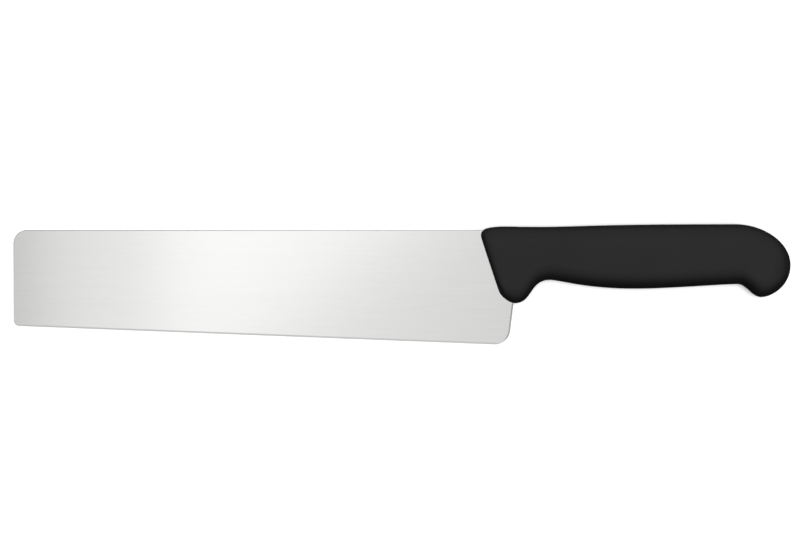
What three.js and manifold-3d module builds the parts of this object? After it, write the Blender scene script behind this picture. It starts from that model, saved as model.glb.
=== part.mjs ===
// Pastry knife with a square-ended blade and a moulded handle.
// Millimetres. The knife lies on its side: +X runs from the tip end to the butt, +Y from the cutting edge
// to the spine, +Z up. The origin is under the middle of the knife, on the surface it lies on.
import * as THREE from 'three';
import { mergeVertices, toCreasedNormals } from 'three/addons/utils/BufferGeometryUtils.js';
import Module from 'manifold-3d';

// Blade outline, drawn with the spine on y = 0 and the tip end on x = 0
const edgeLength = 258.5;
const tipHeight = 50;
const heelHeight = 60;
const heelLean = THREE.MathUtils.degToRad(6.8);
const tipSpineRadius = 6.8;
const tipEdgeRadius = 3;
const heelRadius = 8;
const rootRadius = 1.5;

// Blade thickness: flat ground from the spine down to a narrow cutting bevel
const stockThickness = 2.2;
const shoulderThickness = 0.4;
const edgeThickness = 0.1;
const bevelHeight = 0.8;

// Tang hidden in the handle, with holes that the moulded plastic runs through. Its upper side lies
// `tangCeiling` under the spine and its lower side `tangFloor` over the finger notch.
const tangLength = 105;
const tangCeiling = 6;
const tangFloor = 4.5;
const tangEndHeight = 11;
const tangEndRadius = 4;
const tangCornerRadius = 3;
const tangHoles = 3;
const tangHoleDiameter = 8;
const firstHoleInset = 22;
const lastHoleInset = 18;

// Handle outline. `Back` is measured behind the point where the front line meets the spine line, `Fore`
// ahead of the butt, and heights from the spine line. At each feature the outline runs level.
const handleLength = 162.8;
const heelOverhang = 15.5;
const frontLean = THREE.MathUtils.degToRad(18.3);
const browBack = 14.8;
const browHeight = 1.9;
const browCornerHeight = 6.2;
const dipBack = 31.5;
const dipHeight = 1.7;
const crestFore = 28.9;
const crestHeight = 3.1;
const buttHeight = -18.1;
const guardBack = 18.9;
const guardHeight = -38.2;
const guardCornerHeight = 6.3;
const notchBack = 37.3;
const notchHeight = -26;
const bellyBack = 81.4;
const bellyHeight = -30.6;
const waistFore = 27.7;
const waistHeight = -28.2;
const hookFore = 15.2;
const hookHeight = -35;
const heelCover = 2.3;

// Fullness of each stretch of that outline: the share of the stretch for which it keeps the direction it
// leaves with, and the share for which it already has the direction it arrives with
const browCornerFullness = { leave: 0.77, arrive: 0.83 };
const browToDipFullness = { leave: 0.3, arrive: 0.8 };
const dipToCrestFullness = { leave: 0.23, arrive: 0.78 };
const crestToButtFullness = { leave: 0.54, arrive: 0.54 };
const guardCornerFullness = { leave: 0.44, arrive: 0.36 };
const guardToNotchFullness = { leave: 0.51, arrive: 0.59 };
const notchToBellyFullness = { leave: 0.11, arrive: 0.59 };
const bellyToWaistFullness = { leave: 0.35, arrive: 0.15 };
const waistToHookFullness = { leave: 0.41, arrive: 0.4 };
const hookToButtFullness = { leave: 0.37, arrive: 0.66 };

// Where the long back passes over the belly, and where the rounded end passes over the hook, as a share
// of each of these two curves
const backOverBelly = 0.7;
const endOverHook = 0.5;

// Handle thickness and the rounding of its edges
const faceThickness = 9;
const neckThickness = 17;
const gripThickness = 22;
const swellLength = 55;
const noseRound = 4;
const buttRound = 9;
const edgeRound = 9;
const largestRoundShare = 0.45;

// Space left between the steel and the plastic moulded round it
const mouldGap = 0.3;

// Facets along a stretch of the handle, round its edges and round an arc, and the sharpest turn between
// two facets that still belong to one smooth surface
const stretchSteps = 9;
const roundSteps = 6;
const arcSteps = 6;
const smoothTurn = THREE.MathUtils.degToRad(25);

const handleStart = edgeLength - heelOverhang;
const handleEnd = handleStart + handleLength;
const point = (x, y) => new THREE.Vector2(x, y);
const behindFront = (x, y) => point(handleStart + x, y);
const aheadOfButt = (x, y) => point(handleEnd - x, y);
const onFrontLine = (y) => point(handleStart - y * Math.tan(frontLean), y);

const wasm = await Module();
wasm.setup();

function toSolid(geometry) {
  geometry.deleteAttribute('normal');
  geometry.deleteAttribute('uv');
  const merged = mergeVertices(geometry);
  const mesh = new wasm.Mesh({
    numProp: 3,
    vertProperties: merged.attributes.position.array,
    triVerts: Uint32Array.from(merged.index.array),
  });
  return new wasm.Manifold(mesh);
}

function toGeometry(solid) {
  const mesh = solid.getMesh();
  const geometry = new THREE.BufferGeometry();
  geometry.setAttribute('position', new THREE.BufferAttribute(mesh.vertProperties, 3));
  geometry.setIndex(new THREE.BufferAttribute(mesh.triVerts, 1));
  return toCreasedNormals(geometry, smoothTurn);
}

// Moves every side of a counter-clockwise outline outward by `gap`. Outer corners get rounder by it and
// inner corners tighter.
function grow(corners, gap) {
  const outward = (from, to) => point(to.y - from.y, from.x - to.x).normalize();
  return corners.map((corner, i) => {
    const arriving = outward(corners.at(i - 1).at, corner.at);
    const leaving = outward(corner.at, corners[(i + 1) % corners.length].at);
    const shift = arriving.clone().add(leaving).multiplyScalar(gap / (1 + arriving.dot(leaving)));
    const turn = Math.sign(arriving.cross(leaving));
    return { at: corner.at.clone().add(shift), radius: corner.radius + turn * gap };
  });
}

// Draws a closed outline whose corners are arcs of their own radius.
function roundedShape(corners) {
  const shape = new THREE.Shape();
  corners.forEach((corner, i) => {
    const toBefore = corners.at(i - 1).at.clone().sub(corner.at).normalize();
    const toAfter = corners[(i + 1) % corners.length].at.clone().sub(corner.at).normalize();
    const halfAngle = Math.acos(toBefore.dot(toAfter)) / 2;
    const bisector = toBefore.clone().add(toAfter).normalize();
    const centre = corner.at.clone().addScaledVector(bisector, corner.radius / Math.sin(halfAngle));
    const reach = corner.radius / Math.tan(halfAngle);
    const start = corner.at.clone().addScaledVector(toBefore, reach).sub(centre).angle();
    const end = corner.at.clone().addScaledVector(toAfter, reach).sub(centre).angle();
    const clockwise = toAfter.cross(toBefore) < 0;
    shape.absarc(centre.x, centre.y, corner.radius, start, end, clockwise);
  });
  return shape;
}

function extrude(shape, depth) {
  return new THREE.ExtrudeGeometry(shape, { depth, bevelEnabled: false, curveSegments: arcSteps });
}

// The heel's back ends inside the guard. The blade's root runs up from there, parallel to the handle's
// front, and the tang starts on it.
const heelTopHeight = guardHeight + heelCover;
const heelTop = point(edgeLength + (heelHeight + heelTopHeight) * Math.tan(heelLean), heelTopHeight);
const onRootLine = (y) => point(heelTop.x - (y - heelTop.y) * Math.tan(frontLean), y);
const tangTop = -tangCeiling;
const tangBottom = notchHeight + tangFloor;
const tangLevel = (tangTop + tangBottom) / 2;
const tangStart = onRootLine(tangLevel).x;
const tangEnd = tangStart + tangLength;

function blankOutline() {
  const corner = (at, radius) => ({ at, radius });
  return [
    corner(point(0, 0), tipSpineRadius),
    corner(point(0, -tipHeight), tipEdgeRadius),
    corner(point(edgeLength, -heelHeight), heelRadius),
    corner(heelTop, rootRadius),
    corner(onRootLine(tangBottom), tangCornerRadius),
    corner(point(tangEnd, tangLevel - tangEndHeight / 2), tangEndRadius),
    corner(point(tangEnd, tangLevel + tangEndHeight / 2), tangEndRadius),
    corner(onRootLine(tangTop), tangCornerRadius),
    corner(onRootLine(0), rootRadius),
  ];
}

// The steel taken off one face by grinding: a prism along the cutting edge whose inner side is the flat
// grind and the cutting bevel. `side` is +1 or -1.
function grinding(side, gap) {
  const along = point(edgeLength, tipHeight - heelHeight).normalize();
  const across = point(-along.y, along.x);
  const margin = heelRadius;
  const clear = stockThickness + gap;
  const profile = new THREE.Shape([
    point(-margin, side * (edgeThickness / 2 + gap)),
    point(0, side * (edgeThickness / 2 + gap)),
    point(bevelHeight, side * (shoulderThickness / 2 + gap)),
    point(heelHeight, side * (stockThickness / 2 + gap)),
    point(heelHeight, side * clear),
    point(-margin, side * clear),
  ]);
  const prism = extrude(profile, heelTop.x + 2 * margin);
  const frame = new THREE.Matrix4().makeBasis(
    new THREE.Vector3(across.x, across.y, 0),
    new THREE.Vector3(0, 0, 1),
    new THREE.Vector3(along.x, along.y, 0),
  );
  frame.setPosition(-margin * along.x, -tipHeight - margin * along.y, 0);
  return toSolid(prism.applyMatrix4(frame));
}

// Blade and tang: a blank cut from sheet, then ground on both faces. With a gap it is the room that the
// blade takes up in the handle.
function bladeSolid(gap) {
  const blank = roundedShape(grow(blankOutline(), gap));
  const holePitch = (tangLength - firstHoleInset - lastHoleInset) / (tangHoles - 1);
  for (let i = 0; i < tangHoles; i++) {
    const hole = new THREE.Path();
    const holeX = tangStart + firstHoleInset + i * holePitch;
    hole.absarc(holeX, tangLevel, tangHoleDiameter / 2 - gap, 0, 2 * Math.PI);
    blank.holes.push(hole);
  }
  const thickness = stockThickness + 2 * gap;
  const sheet = toSolid(extrude(blank, thickness).translate(0, 0, -thickness / 2));
  return sheet.subtract(grinding(1, gap)).subtract(grinding(-1, gap));
}

// One curved stretch of the handle's outline, between two level features.
function stretch(from, to, { leave, arrive }) {
  const span = to.x - from.x;
  return new THREE.CubicBezierCurve(
    from, point(from.x + leave * span, from.y), point(to.x - arrive * span, to.y), to,
  );
}

// From the straight front line, round its corner, to the level feature beside it.
function cornerStretch(from, to, { leave, arrive }) {
  const alongFront = onFrontLine(THREE.MathUtils.lerp(from.y, to.y, leave));
  const level = point(to.x - arrive * (to.x - from.x), to.y);
  return new THREE.CubicBezierCurve(from, alongFront, level, to);
}

// From the last level feature round to the butt, where the outline stands upright.
function endStretch(from, butt, { leave, arrive }) {
  const span = butt.clone().sub(from);
  return new THREE.CubicBezierCurve(
    from, point(from.x + leave * span.x, from.y), point(butt.x, butt.y - arrive * span.y), butt,
  );
}

// The handle's outline as an upper and a lower rail with matching stretches, front to butt. The long back
// and the rounded end each match two stretches below, so the upper rail holds them in two parts.
function handleRails() {
  const brow = behindFront(browBack, browHeight);
  const dip = behindFront(dipBack, dipHeight);
  const crest = aheadOfButt(crestFore, crestHeight);
  const butt = aheadOfButt(0, buttHeight);
  const guard = behindFront(guardBack, guardHeight);
  const notch = behindFront(notchBack, notchHeight);
  const belly = behindFront(bellyBack, bellyHeight);
  const waist = aheadOfButt(waistFore, waistHeight);
  const hook = aheadOfButt(hookFore, hookHeight);
  const frontTop = onFrontLine(browHeight - browCornerHeight);
  const frontFoot = onFrontLine(guardHeight + guardCornerHeight);

  const whole = (curve) => ({ curve, from: 0, to: 1 });
  const inTwo = (curve, share) => [{ curve, from: 0, to: share }, { curve, from: share, to: 1 }];
  const upper = [
    whole(cornerStretch(frontTop, brow, browCornerFullness)),
    whole(stretch(brow, dip, browToDipFullness)),
    ...inTwo(stretch(dip, crest, dipToCrestFullness), backOverBelly),
    ...inTwo(endStretch(crest, butt, crestToButtFullness), endOverHook),
  ];
  const lower = [
    whole(cornerStretch(frontFoot, guard, guardCornerFullness)),
    whole(stretch(guard, notch, guardToNotchFullness)),
    whole(stretch(notch, belly, notchToBellyFullness)),
    whole(stretch(belly, waist, bellyToWaistFullness)),
    whole(stretch(waist, hook, waistToHookFullness)),
    whole(endStretch(hook, butt, hookToButtFullness)),
  ];
  return { upper, lower };
}

// Half the handle's thickness at a section, told by the section's middle. It rounds off at the front face
// and at the butt, and swells from the neck to the grip.
function halfThickness(middle) {
  const quarterRound = (depth, round) => Math.sqrt(1 - (1 - Math.min(depth / round, 1)) ** 2);
  const depth = (middle.x - onFrontLine(middle.y).x) * Math.cos(frontLean);
  const swell = THREE.MathUtils.smoothstep(depth, 0, swellLength);
  const body = THREE.MathUtils.lerp(neckThickness, gripThickness, swell);
  const nose = THREE.MathUtils.lerp(faceThickness, body, quarterRound(depth, noseRound));
  return (nose / 2) * quarterRound(handleEnd - middle.x, buttRound);
}

// A closed section from the upper rail to the lower: flat sides, and edges rounded as quarter ellipses.
function section(top, bottom) {
  const length = top.distanceTo(bottom);
  const down = bottom.clone().sub(top).divideScalar(length);
  const half = halfThickness(top.clone().lerp(bottom, 0.5));
  const round = Math.min(edgeRound, largestRoundShare * length);
  const upperEdge = [];
  for (let i = 0; i <= roundSteps; i++) {
    const angle = (i / roundSteps) * (Math.PI / 2);
    upperEdge.push({ depth: round * (1 - Math.cos(angle)), z: half * Math.sin(angle) });
  }
  const lowerEdge = upperEdge.map(({ depth, z }) => ({ depth: length - depth, z })).reverse();
  const nearSide = [...upperEdge, ...lowerEdge];
  const farSide = nearSide.slice(1, -1).map(({ depth, z }) => ({ depth, z: -z })).reverse();
  return [...nearSide, ...farSide].map(({ depth, z }) => {
    const onSection = top.clone().addScaledVector(down, depth);
    return new THREE.Vector3(onSection.x, onSection.y, z);
  });
}

function handleSections({ upper, lower }) {
  const along = ({ curve, from, to }, t) => curve.getPoint(THREE.MathUtils.lerp(from, to, t));
  const sections = [];
  upper.forEach((part, i) => {
    for (let step = 0; step < stretchSteps; step++) {
      const t = step / stretchSteps;
      sections.push(section(along(part, t), along(lower[i], t)));
    }
  });
  return sections;
}

// Skins the sections from the flat front face to the point of the butt.
function loft(sections, apex) {
  const ring = sections[0].length;
  const vertices = [...sections.flat(), apex];
  const tip = vertices.length - 1;
  const last = (sections.length - 1) * ring;
  const triangles = [];
  for (let i = 2; i < ring; i++) {
    triangles.push(0, i, i - 1);
  }
  for (let start = 0; start < last; start += ring) {
    for (let i = 0; i < ring; i++) {
      const here = start + i;
      const next = start + ((i + 1) % ring);
      triangles.push(here, next, here + ring, next, next + ring, here + ring);
    }
  }
  for (let i = 0; i < ring; i++) {
    triangles.push(last + i, last + ((i + 1) % ring), tip);
  }
  const geometry = new THREE.BufferGeometry().setFromPoints(vertices);
  geometry.setIndex(triangles);
  return geometry;
}

function handleSolid() {
  const body = loft(handleSections(handleRails()), new THREE.Vector3(handleEnd, buttHeight, 0));
  return toSolid(body).subtract(bladeSolid(mouldGap));
}

function piece(name, solid, finish) {
  const mesh = new THREE.Mesh(toGeometry(solid), new THREE.MeshStandardMaterial(finish));
  mesh.name = name;
  return mesh;
}

const knife = new THREE.Group();
knife.add(piece('blade', bladeSolid(0), { color: 0xd6d6d4, roughness: 0.35, metalness: 1 }));
knife.add(piece('handle', handleSolid(), { color: 0x2d2d2d, roughness: 0.6, metalness: 0 }));

const extent = new THREE.Box3().setFromObject(knife);
const centre = extent.getCenter(new THREE.Vector3());
knife.position.set(-centre.x, -centre.y, -extent.min.z);

export default knife;
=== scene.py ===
# %% [markdown]
# # A pastry knife, lying on its side
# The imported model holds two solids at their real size: a steel blade with its tang, and the handle
# moulded round it. This lesson dresses them. Each solid is replaced by a finer mesh of the same outer
# shape, in the same place, and each mesh gets a finish that follows the real material. A table, the light
# and the camera of the photograph come last.

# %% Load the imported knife
import math

import bmesh
import bpy
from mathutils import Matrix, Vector
from mathutils.geometry import tessellate_polygon


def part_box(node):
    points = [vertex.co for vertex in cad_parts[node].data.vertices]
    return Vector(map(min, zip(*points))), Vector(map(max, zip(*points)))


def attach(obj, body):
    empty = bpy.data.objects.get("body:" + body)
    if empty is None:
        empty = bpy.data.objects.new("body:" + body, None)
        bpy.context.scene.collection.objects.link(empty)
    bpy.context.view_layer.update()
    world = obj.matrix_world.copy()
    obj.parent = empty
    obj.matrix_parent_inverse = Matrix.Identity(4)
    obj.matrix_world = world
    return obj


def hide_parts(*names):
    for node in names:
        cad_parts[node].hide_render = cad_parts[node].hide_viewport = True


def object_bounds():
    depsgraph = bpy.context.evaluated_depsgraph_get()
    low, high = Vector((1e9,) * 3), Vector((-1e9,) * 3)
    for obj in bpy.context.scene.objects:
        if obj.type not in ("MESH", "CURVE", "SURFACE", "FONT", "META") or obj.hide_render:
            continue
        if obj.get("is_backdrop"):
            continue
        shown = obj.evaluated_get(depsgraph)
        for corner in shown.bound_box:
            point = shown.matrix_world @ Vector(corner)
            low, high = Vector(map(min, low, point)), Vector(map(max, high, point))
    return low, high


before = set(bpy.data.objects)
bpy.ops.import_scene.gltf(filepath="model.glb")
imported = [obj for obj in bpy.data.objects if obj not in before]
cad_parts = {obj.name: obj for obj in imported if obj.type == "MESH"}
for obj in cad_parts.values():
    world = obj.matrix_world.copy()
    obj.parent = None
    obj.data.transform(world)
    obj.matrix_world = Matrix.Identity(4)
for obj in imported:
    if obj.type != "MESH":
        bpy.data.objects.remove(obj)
cad_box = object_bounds()
MM = 0.001


def in_mm(lengths):
    """Lengths in metres as rounded millimetres, to print."""
    return [round(length / MM, 2) for length in lengths]


print("solids:", sorted(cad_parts), "in a box of", in_mm(cad_box[1] - cad_box[0]), "mm")

# %% [markdown]
# ## The side drawing
# A knife is drawn from its side: x runs back from the tip end, y up from the spine, and z is the distance
# from the middle of the steel, all in millimetres. Blender works in metres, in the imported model's frame.
# The pieces could be written there at once, but round millimetres are easier to read, so one function
# turns a point of the drawing into a point of the frame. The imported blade's box says where the drawing
# lies.

# %% Place the drawing in the frame
blade_low, blade_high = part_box("blade")
drawing_origin = Vector((blade_low.x, blade_high.y, (blade_low.z + blade_high.z) / 2))


def from_drawing(x, y, z=0.0):
    """A point of the side drawing, in millimetres, as a point of the frame, in metres."""
    return drawing_origin + Vector((x, y, z)) * MM


print("the drawing starts at", in_mm(drawing_origin), "mm, where spine and tip end would meet")

# %% [markdown]
# ## The blade's corners
# The blade is cut from sheet, so it starts as one closed outline: a square tip end, a straight spine, a
# cutting edge that drops a little towards the heel, and the tang that the handle hides. It could be
# traced as a curve, but nine corners, each with its own radius, say the same thing and stay easy to
# change. The tang doesn't show in the photograph, so its shape is a usual one.

# %% Draw the blade's corners
EDGE_LENGTH = 258.5
TIP_HEIGHT = 50.0
HEEL_HEIGHT = 60.0
HEEL_LEAN = math.radians(6.8)
HEEL_TOP_Y = -35.9
FRONT_LEAN = math.radians(18.3)
TANG_LENGTH = 105.0
TANG_TOP = -6.0
TANG_BOTTOM = -21.5
TANG_END_HEIGHT = 11.0
TIP_SPINE_RADIUS = 6.8
TIP_EDGE_RADIUS = 3.0
HEEL_RADIUS = 8.0
ROOT_RADIUS = 1.5
TANG_CORNER_RADIUS = 3.0
TANG_END_RADIUS = 4.0

heel_top_x = EDGE_LENGTH + (HEEL_HEIGHT + HEEL_TOP_Y) * math.tan(HEEL_LEAN)
tang_level = (TANG_TOP + TANG_BOTTOM) / 2


def root_x(y):
    """Where the blade's root, which the handle hides, lies at a height."""
    return heel_top_x - (y - HEEL_TOP_Y) * math.tan(FRONT_LEAN)


tang_end_x = root_x(tang_level) + TANG_LENGTH
blade_corners = [
    (0.0, 0.0, TIP_SPINE_RADIUS),
    (0.0, -TIP_HEIGHT, TIP_EDGE_RADIUS),
    (EDGE_LENGTH, -HEEL_HEIGHT, HEEL_RADIUS),
    (heel_top_x, HEEL_TOP_Y, ROOT_RADIUS),
    (root_x(TANG_BOTTOM), TANG_BOTTOM, TANG_CORNER_RADIUS),
    (tang_end_x, tang_level - TANG_END_HEIGHT / 2, TANG_END_RADIUS),
    (tang_end_x, tang_level + TANG_END_HEIGHT / 2, TANG_END_RADIUS),
    (root_x(TANG_TOP), TANG_TOP, TANG_CORNER_RADIUS),
    (root_x(0.0), 0.0, ROOT_RADIUS),
]
print("blade:", len(blade_corners), "corners, the tang ends at", round(tang_end_x, 1), "mm")

# %% [markdown]
# ## Rounding the corners
# No corner of the outline is sharp. Blender's bevel can round vertices too, but there each radius would
# be hidden in a vertex weight. Here it stands beside its corner, and the arc is worked out: its centre
# lies on the line that halves the corner, as far in as makes the arc touch both sides.

# %% Round the blade's corners
ARC_STEP = math.radians(6)


def rounded_outline(corners):
    """Points round a counter-clockwise outline whose corners (x, y, radius) are arcs."""
    points = []
    for i, (x, y, radius) in enumerate(corners):
        corner = Vector((x, y))
        to_before = (Vector(corners[i - 1][:2]) - corner).normalized()
        to_after = (Vector(corners[(i + 1) % len(corners)][:2]) - corner).normalized()
        half_angle = to_before.angle(to_after) / 2
        centre = corner + (to_before + to_after).normalized() * radius / math.sin(half_angle)
        start = corner + to_before * radius / math.tan(half_angle) - centre
        turn = (corner + to_after * radius / math.tan(half_angle) - centre).angle_signed(start)
        steps = max(2, round(abs(turn) / ARC_STEP))
        first = math.atan2(start.y, start.x)
        for step in range(steps + 1):
            angle = first + turn * step / steps
            points.append(centre + radius * Vector((math.cos(angle), math.sin(angle))))
    return points


blade_outline = rounded_outline(blade_corners)
print("blade outline:", len(blade_outline), "points")

# %% [markdown]
# ## Grinding the blade
# The sheet is taken to be ground flat on both sides, as is usual for such blades: from full thickness at
# the heel's spine down to a thin shoulder, where a narrow cutting bevel begins. A solidify modifier would
# need painted weights to make this wedge. A function that tells the thickness from the distance to the
# cutting edge says it in numbers, and every later step asks it.

# %% Tell how thick the steel is
STOCK = 2.2
SHOULDER = 0.4
EDGE = 0.1
BEVEL_HEIGHT = 0.8

edge_start = Vector((0.0, -TIP_HEIGHT))
edge_along = (Vector((EDGE_LENGTH, -HEEL_HEIGHT)) - edge_start).normalized()
edge_across = Vector((-edge_along.y, edge_along.x))


def above_edge(point):
    """How far from the cutting edge a point of the drawing lies."""
    return (point - edge_start).dot(edge_across)


def half_thickness(point):
    """Half the steel's thickness at a point of the drawing."""
    height = above_edge(point)
    if height < BEVEL_HEIGHT:
        return EDGE / 2 + max(height, 0.0) / BEVEL_HEIGHT * (SHOULDER - EDGE) / 2
    share = (height - BEVEL_HEIGHT) / (HEEL_HEIGHT - BEVEL_HEIGHT)
    return SHOULDER / 2 + min(share, 1.0) * (STOCK - SHOULDER) / 2


for place_name, x in (("tip end", 0.0), ("heel", EDGE_LENGTH)):
    spine = 2 * half_thickness(Vector((x, 0.0)))
    print("over the", place_name, "the spine is", round(spine, 2), "mm thick")

# %% [markdown]
# ## Easing the borders
# Every border but the cutting edge is eased: its corner is broken with a small round, which catches the
# light along the spine. The heel's back is eased wider, because the photograph shows a thin dark line
# there. A bevel modifier would round the cutting edge too, unless each border got a weight. So the round
# is a profile of its own, set up at each point of the outline. It shrinks towards the cutting edge, where
# the steel is thin.

# %% Draw the border's profile
BORDER_EASE = 0.4
LARGEST_EASE_SHARE = 0.45
HEEL_EASE = 0.8
HEEL_EASE_RUN = 3.0
EASE_STEPS = 4


def heel_ease(point):
    """How far in from the outline the heel's back is eased. It grows round the heel's corner."""
    if point.x < EDGE_LENGTH - HEEL_RADIUS or point.y > HEEL_TOP_Y:
        return 0.0
    return HEEL_EASE * min(max(above_edge(point) - BEVEL_HEIGHT, 0.0) / HEEL_EASE_RUN, 1.0)


def border_profile(point, inward):
    """One cut through the blade's border, from the upper face round to the lower one."""
    depth = min(BORDER_EASE, LARGEST_EASE_SHARE * half_thickness(point))
    width = max(depth, heel_ease(point))
    upper = []
    for step in range(EASE_STEPS + 1):
        angle = math.pi / 2 * step / EASE_STEPS
        place = point + inward * width * (1 - math.sin(angle))
        upper.append((place, half_thickness(place) - depth * (1 - math.cos(angle))))
    return upper + [(place, -z) for place, z in reversed(upper)]


print("points eased wider at the heel:", sum(heel_ease(point) > 0 for point in blade_outline))

# %% [markdown]
# ## The blade's border as a mesh
# Meshes are made with bmesh, Blender's mesh editor for scripts. One profile goes to each point of the
# outline, square to it, and faces join it to the next. The faces also learn which finish they get: a mesh
# has numbered material slots, and each face keeps the number of its own. The outline gets two more points
# where it crosses the top of the cutting bevel, so that the bevel ends in a clean line.

# %% Build the blade's border
# The heel's slot takes steel painted darker: painted shade for the dark line along its back.
BRUSHED, STONE_GROUND, BELT_EASED_PAINTED_SHADE = range(3)


def with_bevel_ends(outline):
    """Adds the two points where the outline crosses the top of the cutting bevel."""
    points = []
    for here, after in zip(outline, outline[1:] + outline[:1]):
        points.append(here)
        low, high = above_edge(here) - BEVEL_HEIGHT, above_edge(after) - BEVEL_HEIGHT
        if low * high < 0:
            points.append(here.lerp(after, low / (low - high)))
    return points


def build_border(bm, outline):
    """Joins one profile at each point of the outline into a band, and returns the profiles."""
    profiles = []
    for i, point in enumerate(outline):
        before = (point - outline[i - 1]).normalized()
        after = (outline[(i + 1) % len(outline)] - point).normalized()
        along = (before + after).normalized()
        profile = border_profile(point, Vector((-along.y, along.x)))
        profiles.append([bm.verts.new(from_drawing(place.x, place.y, z)) for place, z in profile])
    for point, here, after in zip(outline, profiles, profiles[1:] + profiles[:1]):
        for i in range(len(here) - 1):
            face = bm.faces.new((here[i], here[i + 1], after[i + 1], after[i]))
            face.smooth = True
            face.material_index = BELT_EASED_PAINTED_SHADE if heel_ease(point) > 0 else BRUSHED
    return profiles


blade_bm = bmesh.new()
bevelled_outline = with_bevel_ends(blade_outline)
border = build_border(blade_bm, bevelled_outline)
print("blade border:", len(blade_bm.faces), "faces")

# %% [markdown]
# ## The tang's holes
# In a handle moulded round its tang, plastic usually runs through holes in the steel and locks it. They
# don't show, but the mesh is a model of the blade in its own right, so it has them. A boolean modifier
# could cut them later. The flat sides are filled between rings of points anyway, so a hole is simply one
# more ring, with a wall to the other side.

# %% Punch the tang's holes
TANG_HOLE_RADIUS = 4.0
TANG_HOLE_STEPS = 32
FIRST_HOLE_INSET = 22.0
LAST_HOLE_INSET = 18.0

last_hole = TANG_LENGTH - LAST_HOLE_INSET


def punch_hole(bm, inset):
    """Builds a hole's wall, so far behind the blade's root, and returns its pairs of points."""
    pairs = []
    for step in range(TANG_HOLE_STEPS):
        angle = 2 * math.pi * step / TANG_HOLE_STEPS
        place = Vector((root_x(tang_level) + inset, tang_level))
        place += TANG_HOLE_RADIUS * Vector((math.cos(angle), math.sin(angle)))
        z = half_thickness(place)
        pairs.append([bm.verts.new(from_drawing(place.x, place.y, side * z)) for side in (1, -1)])
    for here, after in zip(pairs, pairs[1:] + pairs[:1]):
        bm.faces.new((here[0], after[0], after[1], here[1])).smooth = True
    return pairs


hole_insets = (FIRST_HOLE_INSET, (FIRST_HOLE_INSET + last_hole) / 2, last_hole)
tang_holes = [punch_hole(blade_bm, inset) for inset in hole_insets]
print("tang holes behind the root, in mm:", hole_insets)

# %% [markdown]
# ## Filling the blade's sides
# Each side of the blade is two planes, the ground face and the bevel. A single many-sided face can't have
# holes in it, so the planes are cut into triangles between their rings of points, which mathutils does in
# one call. Triangles are fine on a plane: nothing bends there, so no shading shows them.

# %% Fill the sides
# Points as close as this to the bevel's top belong to both planes
TOUCHING = 0.001


def fill_sides(bm, outline, profiles, holes):
    """Fills both sides of the blade: the ground face round its holes, and the bevel below it."""
    count = len(outline)
    on_bevel = [above_edge(point) < BEVEL_HEIGHT + TOUCHING for point in outline]
    on_ground = [above_edge(point) > BEVEL_HEIGHT - TOUCHING for point in outline]
    first_bevel = next(i for i in range(count) if on_bevel[i] and not on_bevel[i - 1])
    order = [(first_bevel + i) % count for i in range(count)]
    bevel_loop = [i for i in order if on_bevel[i]]
    ground_loop = [i for i in order[1:] + order[:1] if on_ground[i]]
    for side in (0, -1):
        for loop, openings, finish in ((ground_loop, holes, BRUSHED), (bevel_loop, [], STONE_GROUND)):
            rings = [[profiles[i][side] for i in loop]]
            rings += [[pair[side] for pair in hole] for hole in openings]
            verts = [vert for ring in rings for vert in ring]
            for triangle in tessellate_polygon([[vert.co for vert in ring] for ring in rings]):
                face = bm.faces.new([verts[i] for i in triangle])
                face.material_index = finish
    bmesh.ops.recalc_face_normals(bm, faces=bm.faces)


fill_sides(blade_bm, bevelled_outline, border, tang_holes)
print("blade mesh:", len(blade_bm.faces), "faces")

# %% [markdown]
# ## From mesh to piece
# A piece of the dressed knife takes the place of an imported solid, which is hidden, and hangs from the
# body that it moves with. Blade and handle do this in the same lines, so a function holds those lines.

# %% Make the blade a piece
scene = bpy.context.scene


def new_piece(name, bm, node):
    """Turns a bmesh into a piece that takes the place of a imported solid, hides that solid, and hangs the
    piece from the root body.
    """
    mesh = bpy.data.meshes.new(name)
    bm.to_mesh(mesh)
    bm.free()
    piece = bpy.data.objects.new(name, mesh)
    scene.collection.objects.link(piece)
    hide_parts(node)
    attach(piece, "root")
    print(name, "has", len(mesh.polygons), "faces and measures", in_mm(piece.dimensions), "mm")
    return piece


blade = new_piece("blade_ground", blade_bm, "blade")

# %% [markdown]
# ## Curves for the handle's outline
# The handle is one moulding, shaped to keep a wet hand in place: a guard in front of the index finger, a
# notch for it, a full belly for the palm and a hook at the end. From the side it is an upper and a lower
# line. Each is a chain of Bezier curves that run level at its features, which is how such a shape is
# drawn by hand, and takes far fewer numbers than a traced outline.

# %% Say how the curves run
HANDLE_LENGTH = 162.8
HEEL_OVERHANG = 15.5

handle_start = EDGE_LENGTH - HEEL_OVERHANG
handle_end = handle_start + HANDLE_LENGTH


def front_x(y):
    """Where the handle's straight, leaning front lies at a height."""
    return handle_start - y * math.tan(FRONT_LEAN)


def bezier(start, leave, arrive, end, t):
    """The point of a Bezier curve at t, from 0 at its start to 1 at its end."""
    return ((1 - t) ** 3 * start + 3 * t * (1 - t) ** 2 * leave
            + 3 * t ** 2 * (1 - t) * arrive + t ** 3 * end)


def corner_stretch(front_y, end, leave, arrive):
    """From the straight front round its corner to the level feature beside it."""
    start = Vector((front_x(front_y), front_y))
    leave_y = front_y + leave * (end.y - front_y)
    return (start, Vector((front_x(leave_y), leave_y)),
            Vector((end.x - arrive * (end.x - start.x), end.y)), end)


def level_stretch(start, end, leave, arrive):
    """Between two features where the outline runs level."""
    span = end.x - start.x
    return (start, Vector((start.x + leave * span, start.y)),
            Vector((end.x - arrive * span, end.y)), end)


def end_stretch(start, end, leave, arrive):
    """From the last level feature round to the butt, where the outline stands upright."""
    return (start, Vector((start.x + leave * (end.x - start.x), start.y)),
            Vector((end.x, end.y - arrive * (end.y - start.y))), end)


print("handle from", round(front_x(0.0), 1), "to", round(handle_end, 1), "mm")

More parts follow.
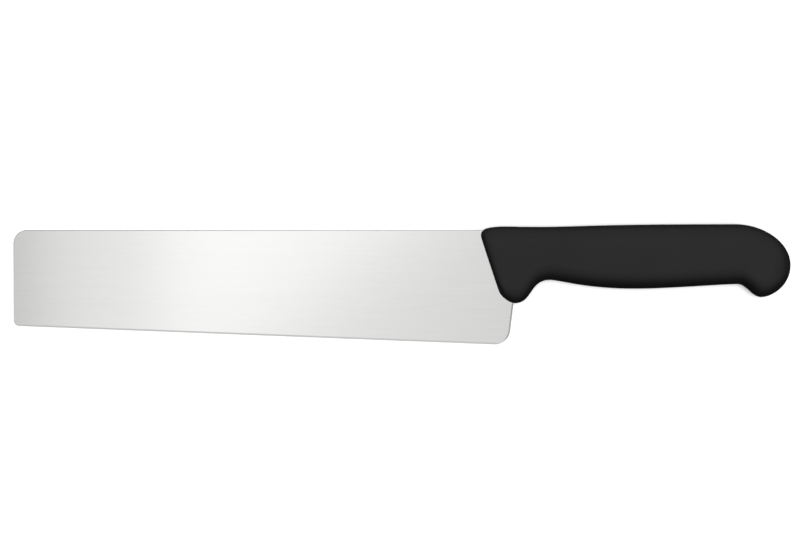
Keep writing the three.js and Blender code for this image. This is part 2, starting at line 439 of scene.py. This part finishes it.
# %% [markdown]
# ## The handle's two rails
# The features are points of the drawing, named in plain words. They could be joined by one smooth curve
# through all of them, but then moving one would bend its neighbours. So each stretch between two features
# has two numbers of its own: how long it keeps the direction it leaves with, and how early it takes on
# the one it arrives with. Both rails have as many stretches, because the skin will join them pair by
# pair. Two upper curves are split for that, so a stretch also says which part of its curve it is.

# %% Draw the rails
BROW_CORNER = 6.2
GUARD_CORNER = 6.3
BACK_OVER_BELLY = 0.7
END_OVER_HOOK = 0.5

brow = Vector((handle_start + 14.8, 1.9))
dip = Vector((handle_start + 31.5, 1.7))
crest = Vector((handle_end - 28.9, 3.1))
butt = Vector((handle_end, -18.1))
guard = Vector((handle_start + 18.9, -38.2))
notch = Vector((handle_start + 37.3, -26.0))
belly = Vector((handle_start + 81.4, -30.6))
waist = Vector((handle_end - 27.7, -28.2))
hook = Vector((handle_end - 15.2, -35.0))

back = level_stretch(dip, crest, 0.23, 0.78)
rounded_end = end_stretch(crest, butt, 0.54, 0.54)
upper_rail = [
    (corner_stretch(brow.y - BROW_CORNER, brow, 0.77, 0.83), 0.0, 1.0),
    (level_stretch(brow, dip, 0.3, 0.8), 0.0, 1.0),
    (back, 0.0, BACK_OVER_BELLY),
    (back, BACK_OVER_BELLY, 1.0),
    (rounded_end, 0.0, END_OVER_HOOK),
    (rounded_end, END_OVER_HOOK, 1.0),
]
lower_rail = [
    (corner_stretch(guard.y + GUARD_CORNER, guard, 0.44, 0.36), 0.0, 1.0),
    (level_stretch(guard, notch, 0.51, 0.59), 0.0, 1.0),
    (level_stretch(notch, belly, 0.11, 0.59), 0.0, 1.0),
    (level_stretch(belly, waist, 0.35, 0.15), 0.0, 1.0),
    (level_stretch(waist, hook, 0.41, 0.4), 0.0, 1.0),
    (end_stretch(hook, butt, 0.37, 0.66), 0.0, 1.0),
]
print("rails:", len(upper_rail), "stretches above and", len(lower_rail), "below")

# %% [markdown]
# ## The handle's thickness
# The photograph doesn't show the handle from above. Such handles usually swell from a slim neck to a full
# grip, and this one is also rounded off at its front face and at the butt, where the photograph shows
# dark rims. A second pair of rails could say that. A formula is shorter: two thicknesses with a smooth
# step between them, and a quarter round at each end.

# %% Tell how thick the handle is
FACE_THICKNESS = 9.0
NECK_THICKNESS = 17.0
GRIP_THICKNESS = 22.0
SWELL_LENGTH = 55.0
NOSE_ROUND = 4.0
BUTT_ROUND = 11.0


def quarter_round(depth, radius):
    """The height of a quarter circle, from 0 to 1, so deep behind where it starts."""
    return math.sqrt(1 - (1 - min(max(depth / radius, 0.0), 1.0)) ** 2)


def handle_half_thickness(middle):
    """Half the handle's thickness at a cut, told by the cut's middle."""
    depth = (middle.x - front_x(middle.y)) * math.cos(FRONT_LEAN)
    share = min(max(depth / SWELL_LENGTH, 0.0), 1.0)
    body = NECK_THICKNESS + (GRIP_THICKNESS - NECK_THICKNESS) * share * share * (3 - 2 * share)
    nose = FACE_THICKNESS + (body - FACE_THICKNESS) * quarter_round(depth, NOSE_ROUND)
    return nose / 2 * quarter_round(handle_end - middle.x, BUTT_ROUND)


for feature_name, feature in (("brow", brow), ("belly", belly), ("hook", hook)):
    print("thickness at the", feature_name, round(2 * handle_half_thickness(feature), 1), "mm")

# %% [markdown]
# ## Skinning the handle
# Between the two rails go many thin cuts, each with flat sides and fully rounded edges, and a skin joins
# them: a loft. A subdivided box could be pulled to this shape too, but a loft follows the drawn lines
# exactly. Where the two halves of a mould meet, they usually leave a hair-thin raised line round the
# edge, so each cut has a small step there.

# %% Model the handle
EDGE_ROUND = 9.0
LARGEST_ROUND_SHARE = 0.45
PARTING_HEIGHT = 0.06
PARTING_HALF_WIDTH = 0.2
CUTS_PER_STRETCH = 24
ROUND_STEPS = 12


def handle_cut(top, bottom):
    """The points of one cut, from the upper rail over the near side to the lower rail and back."""
    length = (bottom - top).length
    down = (bottom - top) / length
    half = handle_half_thickness((top + bottom) / 2)
    radius = min(EDGE_ROUND, LARGEST_ROUND_SHARE * length)
    seam = PARTING_HALF_WIDTH * half / (GRIP_THICKNESS / 2)
    sink = PARTING_HEIGHT * half / (GRIP_THICKNESS / 2)
    edge = [(0.0, 0.0), (sink, seam)]
    for step in range(1, ROUND_STEPS + 1):
        angle = math.pi / 2 * step / ROUND_STEPS
        edge.append((sink + (radius - sink) * (1 - math.cos(angle)), half * math.sin(angle)))
    side = edge + [(length - depth, z) for depth, z in reversed(edge)]
    ring = side + [(depth, -z) for depth, z in reversed(side[1:-1])]
    return [((top + down * depth).x, (top + down * depth).y, z) for depth, z in ring]


def model_handle():
    """Lofts a skin over the cuts and closes it with a front face and a point at the butt."""
    bm = bmesh.new()
    cuts = []
    for (upper, upper_from, upper_to), (lower, lower_from, lower_to) in zip(upper_rail, lower_rail):
        for step in range(CUTS_PER_STRETCH):
            t = step / CUTS_PER_STRETCH
            top = bezier(*upper, upper_from + (upper_to - upper_from) * t)
            bottom = bezier(*lower, lower_from + (lower_to - lower_from) * t)
            cuts.append([bm.verts.new(from_drawing(*place)) for place in handle_cut(top, bottom)])
    tip = bm.verts.new(from_drawing(butt.x, butt.y))
    bm.faces.new(cuts[0])
    for here, after in zip(cuts, cuts[1:]):
        for i in range(len(here)):
            j = (i + 1) % len(here)
            bm.faces.new((here[i], here[j], after[j], after[i])).smooth = True
    for i in range(len(cuts[-1])):
        bm.faces.new((cuts[-1][i], cuts[-1][(i + 1) % len(cuts[-1])], tip)).smooth = True
    bmesh.ops.recalc_face_normals(bm, faces=bm.faces)
    return bm


handle = new_piece("handle_moulding", model_handle(), "handle")

# %% [markdown]
# ## Colours and nodes
# Colours are written as the hex values that a paint program shows, and Blender's shaders work in linear
# light, so one function converts them. Nodes could be placed by hand in the shader editor. In a script,
# one small function that adds a node, sets it up and links it makes a finish read like its picture there.

# %% Write the helpers for the finishes


def linear(hex_colour):
    """An sRGB hex colour as the linear colour, with alpha, that a shader takes."""
    channels = [int(hex_colour[i:i + 2], 16) / 255 for i in (1, 3, 5)]
    return [c / 12.92 if c <= 0.04045 else ((c + 0.055) / 1.055) ** 2.4 for c in channels] + [1.0]


def add_node(tree, kind, inputs=None, **settings):
    """Adds a node. `inputs` gives each input a value or the output that feeds it."""
    node = tree.nodes.new(kind)
    for name, value in settings.items():
        setattr(node, name, value)
    for name, value in (inputs or {}).items():
        if isinstance(value, bpy.types.NodeSocket):
            tree.links.new(value, node.inputs[name])
        else:
            node.inputs[name].default_value = value
    return node


def new_finish(name):
    """An empty material and its node tree."""
    finish = bpy.data.materials.new(name)
    finish.use_nodes = True
    finish.node_tree.nodes.clear()
    return finish, finish.node_tree


print("steel grey is", [round(c, 3) for c in linear("#d6d6d4")], "in linear light")

# %% [markdown]
# ## The direction of the brushing
# The blade is brushed lengthwise. Each scratch is a tiny groove that spreads light to its two sides, so a
# highlight on the blade is drawn out across it. Blender's anisotropy draws a highlight out along a
# tangent. The Tangent node can run it round an axis, which suits turned things. A flat blade has no such
# axis, so it gets a UV map. Its first direction is the tangent, and here that runs across the blade.

# %% Lay the grain on the blade
ACROSS_BLADE = Vector((0.0, 1.0))


def lay_grain(piece, uv_name, first_axis):
    """Adds a UV map in metres whose first axis runs along a direction of the side drawing."""
    second_axis = Vector((-first_axis.y, first_axis.x))
    layer = piece.data.uv_layers.new(name=uv_name)
    for loop in piece.data.loops:
        place = piece.data.vertices[loop.vertex_index].co.xy
        layer.data[loop.index].uv = (place.dot(first_axis), place.dot(second_axis))


lay_grain(blade, "grain", ACROSS_BLADE)
print("UV map grain on", len(blade.data.loops), "face corners of", blade.name)

# %% [markdown]
# ## Brushed stainless steel
# The blade looks like stainless steel, ground flat and then brushed with a fine belt. A picture of
# brushed steel could be wrapped onto it, but a picture has one size and one light in it. Here two noises
# are stretched along the blade, one for the scratches and one for the broad bands that a belt leaves.
# They change tint, gloss and bump only a little, since in the photograph they only just show.

# %% Make the brushed steel
# A real scratch is a few hundredths of a millimetre wide, too fine to show. It is drawn 1 mm wide.
SCRATCH_LENGTH = 30.0
SCRATCH_WIDTH = 1.0
SCRATCH_DEPTH = 0.02
BAND_LENGTH = 260.0
BAND_WIDTH = 5.0
BAND_SHARE = 0.4
NOISE_SPREAD = (0.3, 0.7)
# Brushed steel is typically given a roughness of 0.1 to 0.3. The photograph's sheen has a clear end, so
# it is low here. Like any metal here, the steel keeps the shader's own IOR.
STEEL_ROUGHNESS = (0.115, 0.125)


# To the eye: silky pale grey, with a soft sheen drawn out across the blade and faint streaks along it.
def brushed_stainless_steel():
    """The finish of the blade's sides, borders and tang."""
    finish, tree = new_finish("stainless_steel_brushed_lengthwise")
    place = add_node(tree, "ShaderNodeTexCoord")
    streaks = []
    for length, width in ((SCRATCH_LENGTH, SCRATCH_WIDTH), (BAND_LENGTH, BAND_WIDTH)):
        stretched = add_node(tree, "ShaderNodeMapping", {
            "Vector": place.outputs["Object"],
            "Scale": (1 / (length * MM), 1 / (width * MM), 0.0),
        })
        streaks.append(add_node(tree, "ShaderNodeTexNoise", {
            "Vector": stretched.outputs["Vector"], "Scale": 1.0, "Detail": 3.0, "Roughness": 0.6,
        }))
    scratches, bands = (noise.outputs["Fac"] for noise in streaks)
    mixed = add_node(tree, "ShaderNodeMix", {"Factor": BAND_SHARE, "A": scratches, "B": bands})
    tint = add_node(tree, "ShaderNodeValToRGB", {"Fac": mixed.outputs["Result"]})
    for stop, position, colour in zip(tint.color_ramp.elements, NOISE_SPREAD, ("#d8d7d7", "#dbdbda")):
        stop.position = position
        stop.color = linear(colour)
    gloss = add_node(tree, "ShaderNodeMapRange", {
        "Value": scratches, "From Min": NOISE_SPREAD[0], "From Max": NOISE_SPREAD[1],
        "To Min": STEEL_ROUGHNESS[0], "To Max": STEEL_ROUGHNESS[1],
    })
    relief = add_node(tree, "ShaderNodeBump", {
        "Height": scratches, "Strength": 0.05, "Distance": SCRATCH_DEPTH * MM,
    })
    grain = add_node(tree, "ShaderNodeTangent", direction_type="UV_MAP", uv_map="grain")
    steel = add_node(tree, "ShaderNodeBsdfPrincipled", {
        "Base Color": tint.outputs["Color"],
        "Metallic": 1.0,
        "Roughness": gloss.outputs["Result"],
        "Anisotropic": 0.4,
        "Tangent": grain.outputs["Tangent"],
        "Normal": relief.outputs["Normal"],
    })
    add_node(tree, "ShaderNodeOutputMaterial", {"Surface": steel.outputs["BSDF"]})
    return finish


blade.data.materials.append(brushed_stainless_steel())
print("brushed steel:", SCRATCH_WIDTH, "mm scratches and", BAND_WIDTH, "mm bands on", blade.name)

# %% [markdown]
# ## The ground bevel and the eased heel
# A cutting bevel is usually ground last, on a stone drawn across the edge, and a heel's back is broken on
# a belt, also across. Both are the same steel with upright scratches, duller than the brushed side. The
# heel's tints are also darker than the steel: painted shade, for the dark line along the heel's back. They
# could share its material with a mask between them. Two materials of one recipe are simpler, since the
# faces already know which one they get.

# %% Make the ground steel
# Real stone scratches are about a hundredth of a millimetre wide, too fine to show. They are drawn 0.4 mm
# wide.
STONE_SCRATCH = 0.4
STONE_SCRATCH_LENGTH = 8.0
ALONG_BLADE = Vector((1.0, 0.0))


# To the eye: a shade duller than the brushed side, so that the bevel shows as a thin line. The heel's
# darker tints are painted shade, which draws its back as a thin dark line.
def ground_steel(name, dark, pale):
    """The finish of a strip that was ground across the blade, with its two tints."""
    finish, tree = new_finish(name)
    place = add_node(tree, "ShaderNodeTexCoord")
    upright = add_node(tree, "ShaderNodeMapping", {
        "Vector": place.outputs["Object"],
        "Scale": (1 / (STONE_SCRATCH * MM), 1 / (STONE_SCRATCH_LENGTH * MM), 0.0),
    })
    scratches = add_node(tree, "ShaderNodeTexNoise", {
        "Vector": upright.outputs["Vector"], "Scale": 1.0, "Detail": 2.0,
    })
    tint = add_node(tree, "ShaderNodeValToRGB", {"Fac": scratches.outputs["Fac"]})
    for stop, colour in zip(tint.color_ramp.elements, (dark, pale)):
        stop.color = linear(colour)
    grain = add_node(tree, "ShaderNodeTangent", direction_type="UV_MAP", uv_map="bevel_grain")
    steel = add_node(tree, "ShaderNodeBsdfPrincipled", {
        "Base Color": tint.outputs["Color"],
        "Metallic": 1.0,
        "Roughness": 0.3,
        "Anisotropic": 0.5,
        "Tangent": grain.outputs["Tangent"],
    })
    add_node(tree, "ShaderNodeOutputMaterial", {"Surface": steel.outputs["BSDF"]})
    return finish


lay_grain(blade, "bevel_grain", ALONG_BLADE)
blade.data.materials.append(ground_steel("stainless_steel_stone_ground_bevel", "#d6d6d4", "#e0e0de"))
# The heel's tints are darker than the steel: painted shade for the dark line along its back.
blade.data.materials.append(ground_steel("stainless_steel_belt_eased_heel_painted_shade", "#aeaeac", "#c0c0be"))
print("finishes on the blade:", [finish.name for finish in blade.data.materials])

# %% [markdown]
# ## Matt black polypropylene
# The handle is taken to be polypropylene, a usual plastic for such handles, coloured black all through
# and moulded in a tool with a fine spark-eroded texture. The texture could be real relief, but at a tenth
# of a millimetre that takes millions of faces. A fine noise as bump gives its grain, and a broader one
# keeps the sheen from being too perfect.

# %% Make the moulded plastic
# A real spark-eroded grain is about a tenth of a millimetre, too fine to show. It is drawn at 0.5 mm.
GRAIN_SIZE = 0.5
GRAIN_DEPTH = 0.05
SHEEN_PATCH = 25.0
# Matt mouldings are typically given a roughness of about 0.5. Polypropylene has an IOR of 1.49.
PLASTIC_ROUGHNESS = (0.48, 0.54)
PLASTIC_IOR = 1.49


# To the eye: an even, deep black with a low, soft sheen, whose grain shows where light grazes it.
def moulded_polypropylene():
    """The finish of the whole handle."""
    finish, tree = new_finish("polypropylene_black_spark_textured")
    place = add_node(tree, "ShaderNodeTexCoord")
    grain, patches = (
        add_node(tree, "ShaderNodeTexNoise", {
            "Vector": place.outputs["Object"], "Scale": 1 / (size * MM), "Detail": 2.0,
        }) for size in (GRAIN_SIZE, SHEEN_PATCH)
    )
    gloss = add_node(tree, "ShaderNodeMapRange", {
        "Value": patches.outputs["Fac"], "From Min": NOISE_SPREAD[0], "From Max": NOISE_SPREAD[1],
        "To Min": PLASTIC_ROUGHNESS[0], "To Max": PLASTIC_ROUGHNESS[1],
    })
    tint = add_node(tree, "ShaderNodeValToRGB", {"Fac": grain.outputs["Fac"]})
    for stop, colour in zip(tint.color_ramp.elements, ("#181818", "#1c1c1c")):
        stop.color = linear(colour)
    relief = add_node(tree, "ShaderNodeBump", {
        "Height": grain.outputs["Fac"], "Strength": 0.15, "Distance": GRAIN_DEPTH * MM,
    })
    plastic = add_node(tree, "ShaderNodeBsdfPrincipled", {
        "Base Color": tint.outputs["Color"],
        "Roughness": gloss.outputs["Result"],
        "IOR": PLASTIC_IOR,
        "Specular IOR Level": 0.3,
        "Normal": relief.outputs["Normal"],
    })
    add_node(tree, "ShaderNodeOutputMaterial", {"Surface": plastic.outputs["BSDF"]})
    return finish


handle.data.materials.append(moulded_polypropylene())
print("finish on the handle:", handle.data.materials[0].name)

# %% [markdown]
# ## The table
# In the photograph the ground is plain white, yet it throws no light back onto the handle's underside,
# and the bright steel throws none onto the handle's front. A darker table would lose the white. So the
# table is a plain diffuse white, and Blender's ray visibility keeps table and blade out of reflections
# and bounced light. The table lies a hair below the knife, so that no two faces share a plane.

# %% Lay the table
TABLE_SIZE = 12.0
TABLE_GAP = 0.05

table_bm = bmesh.new()
bmesh.ops.create_grid(table_bm, x_segments=1, y_segments=1, size=TABLE_SIZE / 2)
table_mesh = bpy.data.meshes.new("table")
table_bm.to_mesh(table_mesh)
table_bm.free()
table = bpy.data.objects.new("table", table_mesh)
table.location.z = -TABLE_GAP * MM
scene.collection.objects.link(table)
table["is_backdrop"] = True
for pale_thing in (table, blade):
    pale_thing.visible_diffuse = False
    pale_thing.visible_glossy = False

# To the eye: an even matt white, without any sheen
table_white, table_tree = new_finish("table_white_paint")
paint = add_node(table_tree, "ShaderNodeBsdfDiffuse", {"Color": linear("#f8f8f8")})
add_node(table_tree, "ShaderNodeOutputMaterial", {"Surface": paint.outputs["BSDF"]})
table_mesh.materials.append(table_white)
print("table:", TABLE_SIZE, "m square")

# %% [markdown]
# ## The light tent
# Steel shows the room around it, so the room matters more than the lamps. Here it is a light tent, pale
# overhead and on the spine's side, dark low down. It could be built of cloth and lamps, but a world drawn
# with nodes has no walls to stand in the camera's way. The nodes get the direction that a ray flies in: Z
# says how high it looks, and Y, if it looks to the spine's side, counts as more height.

# %% Draw the light tent
TENT_TOP = 0.67
TENT_LOW = 0.02
# The tent brightens between these two heights
TENT_REACH = (-0.1, 0.6)
TENT_LEAN = 0.5

scene.view_settings.view_transform = "Standard"
scene.world = bpy.data.worlds.new("light_tent")
scene.world.use_nodes = True
tent_tree = scene.world.node_tree
tent_tree.nodes.clear()
sky = add_node(tent_tree, "ShaderNodeTexCoord")
towards = add_node(tent_tree, "ShaderNodeSeparateXYZ", {"Vector": sky.outputs["Generated"]})
spine_side = add_node(tent_tree, "ShaderNodeMath", {
    0: towards.outputs["Y"], 1: 0.0,
}, operation="MAXIMUM")
leaning = add_node(tent_tree, "ShaderNodeMath", {
    0: spine_side.outputs[0], 1: TENT_LEAN, 2: towards.outputs["Z"],
}, operation="MULTIPLY_ADD")
tent = add_node(tent_tree, "ShaderNodeMapRange", {
    "Value": leaning.outputs[0], "From Min": TENT_REACH[0], "From Max": TENT_REACH[1],
    "To Min": TENT_LOW, "To Max": TENT_TOP,
}, interpolation_type="SMOOTHSTEP")
print("tent from", TENT_LOW, "low down to", TENT_TOP, "overhead")

# %% [markdown]
# ## Folds in the tent's wall
# From any one side, a flat blade shows only a small part of the room. Where that part is even, steel looks
# like grey card. The cloth of a tent hangs in soft folds, and those give steel its lights and darks. They
# could be modelled as cloth, but a sine wave that runs round the tent is enough. It fades out overhead,
# so that the photograph's view, which looks straight down, is left to the panels.

# %% Fold the tent's wall
FOLDS = 9
FOLD_DEPTH = 0.3
# An eighth of a wave, which keeps the view from behind out of a dark fold
FOLD_TURN = math.pi / 4
# The folds fade out between these two heights
FOLD_REACH = (0.7, 0.95)

bearing = add_node(tent_tree, "ShaderNodeMath", {
    0: towards.outputs["Y"], 1: towards.outputs["X"],
}, operation="ARCTAN2")
turns = add_node(tent_tree, "ShaderNodeMath", {
    0: bearing.outputs[0], 1: FOLDS, 2: FOLD_TURN,
}, operation="MULTIPLY_ADD")
wave = add_node(tent_tree, "ShaderNodeMath", {0: turns.outputs[0]}, operation="SINE")
depth = add_node(tent_tree, "ShaderNodeMapRange", {
    "Value": towards.outputs["Z"], "From Min": FOLD_REACH[0], "From Max": FOLD_REACH[1],
    "To Min": FOLD_DEPTH, "To Max": 0.0,
}, interpolation_type="SMOOTHSTEP")
folded = add_node(tent_tree, "ShaderNodeMath", {
    0: wave.outputs[0], 1: depth.outputs[0], 2: 1.0,
}, operation="MULTIPLY_ADD")
wall = add_node(tent_tree, "ShaderNodeMath", {
    0: tent.outputs[0], 1: folded.outputs[0],
}, operation="MULTIPLY")
print("tent wall:", FOLDS, "folds")

# %% [markdown]
# ## The bright panels
# The sheen on the blade is made by two bright panels over it: a broad one that fades towards the butt,
# and a narrower one whose edge is cut on the slant. Area lamps could stand for them, but the fading and
# the slant are easier to draw. A direction divided by its height is a place on a flat ceiling, and a
# smooth step there makes each side of a panel.

# %% Hang the panels in the tent
# An edge is two places on the ceiling, and the panel's light comes or goes between them
PANELS = (
    {"light": 0.46, "tip_edge": (-0.177, -0.157), "butt_edge": (-0.185, 0.315), "slant": 0.0},
    {"light": 0.37, "tip_edge": (-0.118, -0.1), "butt_edge": (0.012, 0.027), "slant": 1.3},
)
PANEL_ENDS = (0.35, 0.6)
# Lower directions count as this high, so that nothing is divided by zero
CEILING_LIMIT = 0.05

height = add_node(tent_tree, "ShaderNodeMath", {
    0: towards.outputs["Z"], 1: CEILING_LIMIT,
}, operation="MAXIMUM")
to_butt, to_spine = (
    add_node(tent_tree, "ShaderNodeMath", {
        0: towards.outputs[axis], 1: height.outputs[0],
    }, operation="DIVIDE") for axis in ("X", "Y")
)
from_middle = add_node(tent_tree, "ShaderNodeMath", {0: to_spine.outputs[0]}, operation="ABSOLUTE")
room = wall.outputs[0]
for panel in PANELS:
    slanted = add_node(tent_tree, "ShaderNodeMath", {
        0: to_spine.outputs[0], 1: -panel["slant"], 2: to_butt.outputs[0],
    }, operation="MULTIPLY_ADD")
    light = panel["light"]
    for place, (near, far), first, last in (
        (to_butt, panel["tip_edge"], 0.0, 1.0),
        (slanted, panel["butt_edge"], 1.0, 0.0),
        (from_middle, PANEL_ENDS, 1.0, 0.0),
    ):
        side = add_node(tent_tree, "ShaderNodeMapRange", {
            "Value": place.outputs[0], "From Min": near, "From Max": far, "To Min": first, "To Max": last,
        }, interpolation_type="SMOOTHSTEP")
        dimmed = add_node(tent_tree, "ShaderNodeMath", {
            0: light, 1: side.outputs[0],
        }, operation="MULTIPLY")
        light = dimmed.outputs[0]
    room = add_node(tent_tree, "ShaderNodeMath", {0: room, 1: light}).outputs[0]
print("panels:", [panel["light"] for panel in PANELS], "brighter than the tent")

# %% [markdown]
# ## Who sees the tent
# Blender's Light Path node tells a shader what kind of ray is asking. Reflections see the tent, the
# camera sees the plain white of the photograph, and matt surfaces take only a weak fill, because they
# have lamps of their own. One world for all of them would be simpler, but then the same numbers would set
# the steel's sheen and the light on the plastic.

# %% Show the tent to reflections
FILL = 0.08
WHITE = 1.0

ray = add_node(tent_tree, "ShaderNodeLightPath")
mirrored = add_node(tent_tree, "ShaderNodeMath", {
    0: ray.outputs["Is Glossy Ray"], 1: ray.outputs["Is Transmission Ray"],
}, operation="MAXIMUM")
lit = add_node(tent_tree, "ShaderNodeMix", {"Factor": mirrored.outputs[0], "A": FILL, "B": room})
shown = add_node(tent_tree, "ShaderNodeMix", {
    "Factor": ray.outputs["Is Camera Ray"], "A": lit.outputs["Result"], "B": WHITE,
})
glow = add_node(tent_tree, "ShaderNodeBackground", {
    "Color": linear("#ffffff"), "Strength": shown.outputs["Result"],
})
add_node(tent_tree, "ShaderNodeOutputWorld", {"Surface": glow.outputs["Background"]})
print("tent:", len(tent_tree.nodes), "nodes, fill", FILL)

# %% [markdown]
# ## Lamps
# The key lamp stands over the knife, a little to the spine's side, and gives the handle its shape. It is
# hidden from reflections, as crossed polarising filters do it in a studio. The table has lamps of its
# own, as a studio lights a background apart from the thing in front of it: one straight above for the
# narrow shadow round the knife, and a very soft one that keeps that shadow pale. All are sun lamps, since
# those light a wide table evenly, and their angle sets how soft they are. Light linking says what each
# one lights.

# %% Hang the lamps


def hang_lamp(name, lean, angle, level, lit_things):
    """A soft lamp, leaning from overhead to the spine's side, that lights only some objects."""
    lamp = bpy.data.lights.new(name, "SUN")
    lamp.angle = math.radians(angle)
    # A sun of strength pi shows a white surface below it as white
    lamp.energy = level * math.pi
    stand = bpy.data.objects.new(name, lamp)
    stand.rotation_euler.x = -math.radians(lean)
    stand.visible_glossy = False
    scene.collection.objects.link(stand)
    receivers = bpy.data.collections.new(name + "_lights")
    for thing in lit_things:
        receivers.objects.link(thing)
    stand.light_linking.receiver_collection = receivers
    print(name, "leans", lean, "degrees, is", angle, "degrees wide and at level", level)


hang_lamp("key_lamp", lean=20, angle=25, level=0.9, lit_things=[blade, handle])
hang_lamp("table_lamp", lean=0, angle=24, level=0.8, lit_things=[table])
hang_lamp("table_fill_lamp", lean=0, angle=120, level=0.6, lit_things=[table])

# %% [markdown]
# ## The camera
# The photograph looks straight at the knife's side from far off, so the camera hangs over the knife and
# looks down. It could be moved about until the pictures agree. Here its height follows from the width of
# the picture, and its place from where the middle of the knife sits in it.

# %% Set up the camera
IMAGE_SIZE = Vector((800, 533))
# Where the middle of the knife's box sits in the picture, in pixels
KNIFE_CENTRE = Vector((401.9, 284.3))
MM_PER_PIXEL = 0.5225
LENS = 100.0
SENSOR_WIDTH = 36.0

camera = bpy.data.cameras.new("camera")
camera.lens = LENS
camera.sensor_width = SENSOR_WIDTH
camera_stand = bpy.data.objects.new("camera", camera)
knife_centre = (cad_box[0] + cad_box[1]) / 2
shift = (IMAGE_SIZE / 2 - KNIFE_CENTRE) * MM_PER_PIXEL * MM
distance = IMAGE_SIZE.x * MM_PER_PIXEL * MM * LENS / SENSOR_WIDTH
camera_stand.location = knife_centre + Vector((shift.x, -shift.y, distance))
scene.collection.objects.link(camera_stand)
scene.camera = camera_stand
print("camera", round(distance, 3), "m above the middle of the knife")

# %% [markdown]
# ## Sizes, and the end
# The dressed knife has to fill the same box as the imported one. The two could be compared by eye, but a
# hair's breadth doesn't show, so both boxes are measured and written down side by side.

# %% Print both boxes
boxes = {"cad": cad_box, "visual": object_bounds()}
for name, (low, high) in boxes.items():
    print(name, "box in mm:", in_mm(low), "to", in_mm(high))
